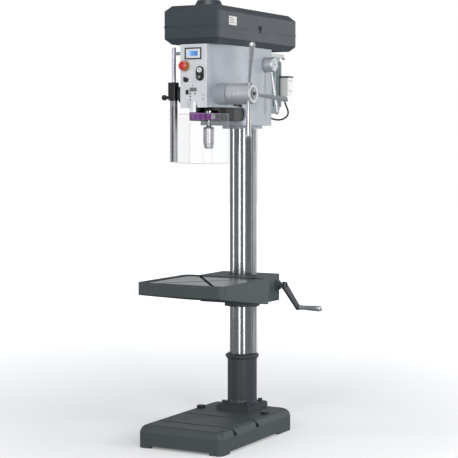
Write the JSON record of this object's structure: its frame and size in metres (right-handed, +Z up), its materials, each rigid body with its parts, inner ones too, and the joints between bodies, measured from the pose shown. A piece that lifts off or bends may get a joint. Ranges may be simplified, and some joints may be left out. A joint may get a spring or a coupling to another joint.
{
  "type": "floor-standing drill press",
  "caption": "Belt-driven floor drill press: heavy base, round column, cranked swinging table, capstan-fed quill with keyless chuck, clear shield and hinged belt guard.",
  "frame": {"origin": "axis of the column at floor level, on the flat underside of the base", "axes": "+Z up along the column; the operator stands at -Y, so the spindle is at -Y; +X is the operator's right, the capstan and crank side"},
  "size_m": [0.5497, 0.872, 1.955],
  "materials": {
    "iron_paint": "dark slate hammered enamel",
    "black_steel": "dark grey enamel",
    "bright_steel": "ground and oiled",
    "lever_chrome": "satin chrome",
    "chuck_steel": "satin hardened steel",
    "head_paint": "light blue-grey enamel",
    "hub_metal": "turned and lacquered",
    "panel_paint": "pale grey satin",
    "cover_paint": "dark slate enamel",
    "black_plastic": "fine-grained moulding",
    "readout_plastic": "grey bezel",
    "white_plastic": "white moulding",
    "stop_red": "red moulding",
    "stop_yellow": "yellow moulding",
    "lamp_glass": "frosted lens",
    "purple_paint": "purple enamel",
    "motor_paint": "grey-green enamel",
    "box_plastic": "cream moulding",
    "cable_rubber": "smooth sheath",
    "belt_rubber": "ribbed belt",
    "rail_aluminium": "anodised extrusion",
    "clear_sheet": "clear polycarbonate"
  },
  "bodies": {
    "frame": {"base_casting": "iron_paint", "base_plugs": "black_plastic", "column_foot": "black_steel", "foot_bolts": "black_steel", "column": "bright_steel", "head_casting": "head_paint", "head_clamp_screws": "black_steel", "control_panel": "panel_paint", "display": "black_plastic", "estop_collar": "stop_yellow", "button_box": "black_plastic", "selector_plate": "white_plastic", "position_readout": "readout_plastic", "lamp_housing": "black_plastic", "lamp_lens": "lamp_glass", "return_spring_case": "black_steel", "motor": "motor_paint", "terminal_box": "box_plastic", "motor_cable": "cable_rubber", "drive_belt": "belt_rubber", "guard_tray": "cover_paint", "shield_post": "bright_steel"},
    "rack_ring": {"rack": "bright_steel"},
    "table_group": {"table": "iron_paint", "table_arm": "iron_paint", "table_bolts": "black_steel"},
    "lift_pinion": {"lift_gear": "bright_steel"},
    "crank": {"crank_shaft": "bright_steel", "crank_arm": "black_steel"},
    "grip": {"crank_grip": "lever_chrome"},
    "table_lock": {"table_lock_lever": "bright_steel"},
    "quill_group": {"quill": "bright_steel", "quill_bearings": "bright_steel", "depth_ring": "purple_paint", "depth_ring_screw": "lever_chrome", "depth_scale": "white_plastic"},
    "spindle_group": {"spindle": "bright_steel", "chuck_body": "chuck_steel"},
    "sleeve": {"chuck_sleeve": "chuck_steel"},
    "jaw_1": {"chuck_jaw_1": "chuck_steel"},
    "jaw_2": {"chuck_jaw_2": "chuck_steel"},
    "jaw_3": {"chuck_jaw_3": "chuck_steel"},
    "feed": {"feed_shaft": "bright_steel", "capstan_hub": "hub_metal", "capstan_levers": "lever_chrome"},
    "quill_lock": {"quill_lock": "black_plastic"},
    "tension": {"tension_hub": "hub_metal", "tension_lever": "lever_chrome"},
    "motor_drive": {"motor_pulley": "bright_steel"},
    "spindle_drive": {"spindle_pulley": "bright_steel"},
    "lid": {"guard_lid": "cover_paint"},
    "latch": {"lid_latch": "black_steel"},
    "estop": {"estop_button": "stop_red"},
    "start": {"start_button": "white_plastic"},
    "stop": {"stop_button": "black_plastic"},
    "selector": {"selector_knob": "black_plastic"},
    "rocker": {"power_rocker": "black_plastic"},
    "shield_arm": {"shield_clamp": "black_plastic", "shield_rail": "rail_aluminium", "chuck_shield": "clear_sheet"}
  },
  "joints": [
    {"name": "table_swing", "type": "hinge", "parent": "frame", "child": "rack_ring", "pos_m": [0, 0, 0.6], "axis": [0, 0, 1], "range_deg": [-180, 180]},
    {"name": "table_lift", "type": "slide", "parent": "rack_ring", "child": "table_group", "axis": [0, 0, 1], "range_m": [-0.215, 0.415]},
    {"name": "lift_pinion_spin", "type": "hinge", "parent": "table_group", "child": "lift_pinion", "pos_m": [0.0879, 0, 0.644], "axis": [0, 1, 0], "range_deg": [-1700, 900]},
    {"name": "crank_spin", "type": "hinge", "parent": "table_group", "child": "crank", "pos_m": [0.15, 0.062, 0.674], "axis": [1, 0, 0], "range_deg": [-10100, 5300]},
    {"name": "grip_spin", "type": "hinge", "parent": "crank", "child": "grip", "pos_m": [0.25, 0.205, 0.5582], "axis": [1, 0, 0], "continuous": true},
    {"name": "table_lock_turn", "type": "hinge", "parent": "table_group", "child": "table_lock", "pos_m": [-0.118, 0.06, 0.67], "axis": [0, 1, 0], "range_deg": [0, 70]},
    {"name": "quill_feed", "type": "slide", "parent": "frame", "child": "quill_group", "axis": [0, 0, 1], "range_m": [-0.15, 0]},
    {"name": "feed_turn", "type": "hinge", "parent": "frame", "child": "feed", "pos_m": [0, -0.3632, 1.543], "axis": [1, 0, 0], "range_deg": [-435, 0]},
    {"name": "quill_lock_turn", "type": "hinge", "parent": "frame", "child": "quill_lock", "pos_m": [0.1, -0.272, 1.502], "axis": [1, 0, 0], "range_deg": [-60, 0]},
    {"name": "spindle_spin", "type": "hinge", "parent": "quill_group", "child": "spindle_group", "pos_m": [0, -0.315, 1.5], "axis": [0, 0, 1], "continuous": true},
    {"name": "spindle_drive_spin", "type": "hinge", "parent": "frame", "child": "spindle_drive", "pos_m": [0, -0.315, 1.8], "axis": [0, 0, 1], "continuous": true},
    {"name": "motor_spin", "type": "hinge", "parent": "frame", "child": "motor_drive", "pos_m": [0, 0.196, 1.8], "axis": [0, 0, 1], "continuous": true},
    {"name": "chuck_turn", "type": "hinge", "parent": "spindle_group", "child": "sleeve", "pos_m": [0, -0.315, 1.35], "axis": [0, 0, 1], "range_deg": [0, 540]},
    {"name": "jaw_1_slide", "type": "slide", "parent": "spindle_group", "child": "jaw_1", "axis": [0.2588, 0, 0.9659], "range_m": [0, 0.0155]},
    {"name": "jaw_2_slide", "type": "slide", "parent": "spindle_group", "child": "jaw_2", "axis": [-0.1294, 0.2241, 0.9659], "range_m": [0, 0.0155]},
    {"name": "jaw_3_slide", "type": "slide", "parent": "spindle_group", "child": "jaw_3", "axis": [-0.1294, -0.2241, 0.9659], "range_m": [0, 0.0155]},
    {"name": "tension_turn", "type": "hinge", "parent": "frame", "child": "tension", "pos_m": [0.14, 0.01, 1.686], "axis": [1, 0, 0], "range_deg": [-45, 45]},
    {"name": "lid_hinge", "type": "hinge", "parent": "frame", "child": "lid", "pos_m": [-0.14, 0, 1.835], "axis": [0, -1, 0], "range_deg": [0, 95]},
    {"name": "latch_turn", "type": "hinge", "parent": "lid", "child": "latch", "pos_m": [0.14, -0.082, 1.845], "axis": [1, 0, 0], "range_deg": [-90, 0]},
    {"name": "estop_press", "type": "slide", "parent": "frame", "child": "estop", "axis": [0, 1, 0], "range_m": [0, 0.005], "stiffness_N_per_m": 400},
    {"name": "start_press", "type": "slide", "parent": "frame", "child": "start", "axis": [0, 1, 0], "range_m": [0, 0.003], "stiffness_N_per_m": 300},
    {"name": "stop_press", "type": "slide", "parent": "frame", "child": "stop", "axis": [0, 1, 0], "range_m": [0, 0.003], "stiffness_N_per_m": 300},
    {"name": "selector_turn", "type": "hinge", "parent": "frame", "child": "selector", "pos_m": [-0.032, -0.46, 1.603], "axis": [0, 1, 0], "range_deg": [-60, 60]},
    {"name": "rocker_tilt", "type": "hinge", "parent": "frame", "child": "rocker", "pos_m": [-0.03, -0.449, 1.551], "axis": [1, 0, 0], "range_deg": [-8, 8]},
    {"name": "shield_swing", "type": "hinge", "parent": "frame", "child": "shield_arm", "pos_m": [-0.134, -0.39, 1.55], "axis": [0, 0, 1], "range_deg": [-100, 0]}
  ],
  "couplings": [
    {"joint": "lift_pinion_spin", "follows": "table_lift", "rad_per_m": -66.667},
    {"joint": "crank_spin", "follows": "table_lift", "rad_per_m": -400},
    {"joint": "feed_turn", "follows": "quill_feed", "rad_per_m": 50},
    {"joint": "spindle_drive_spin", "follows": "spindle_spin", "ratio": 1},
    {"joint": "motor_spin", "follows": "spindle_spin", "ratio": 1.9},
    {"joint": "jaw_1_slide", "follows": "chuck_turn", "m_per_rad": 0.001592},
    {"joint": "jaw_2_slide", "follows": "chuck_turn", "m_per_rad": 0.001592},
    {"joint": "jaw_3_slide", "follows": "chuck_turn", "m_per_rad": 0.001592}
  ]
}
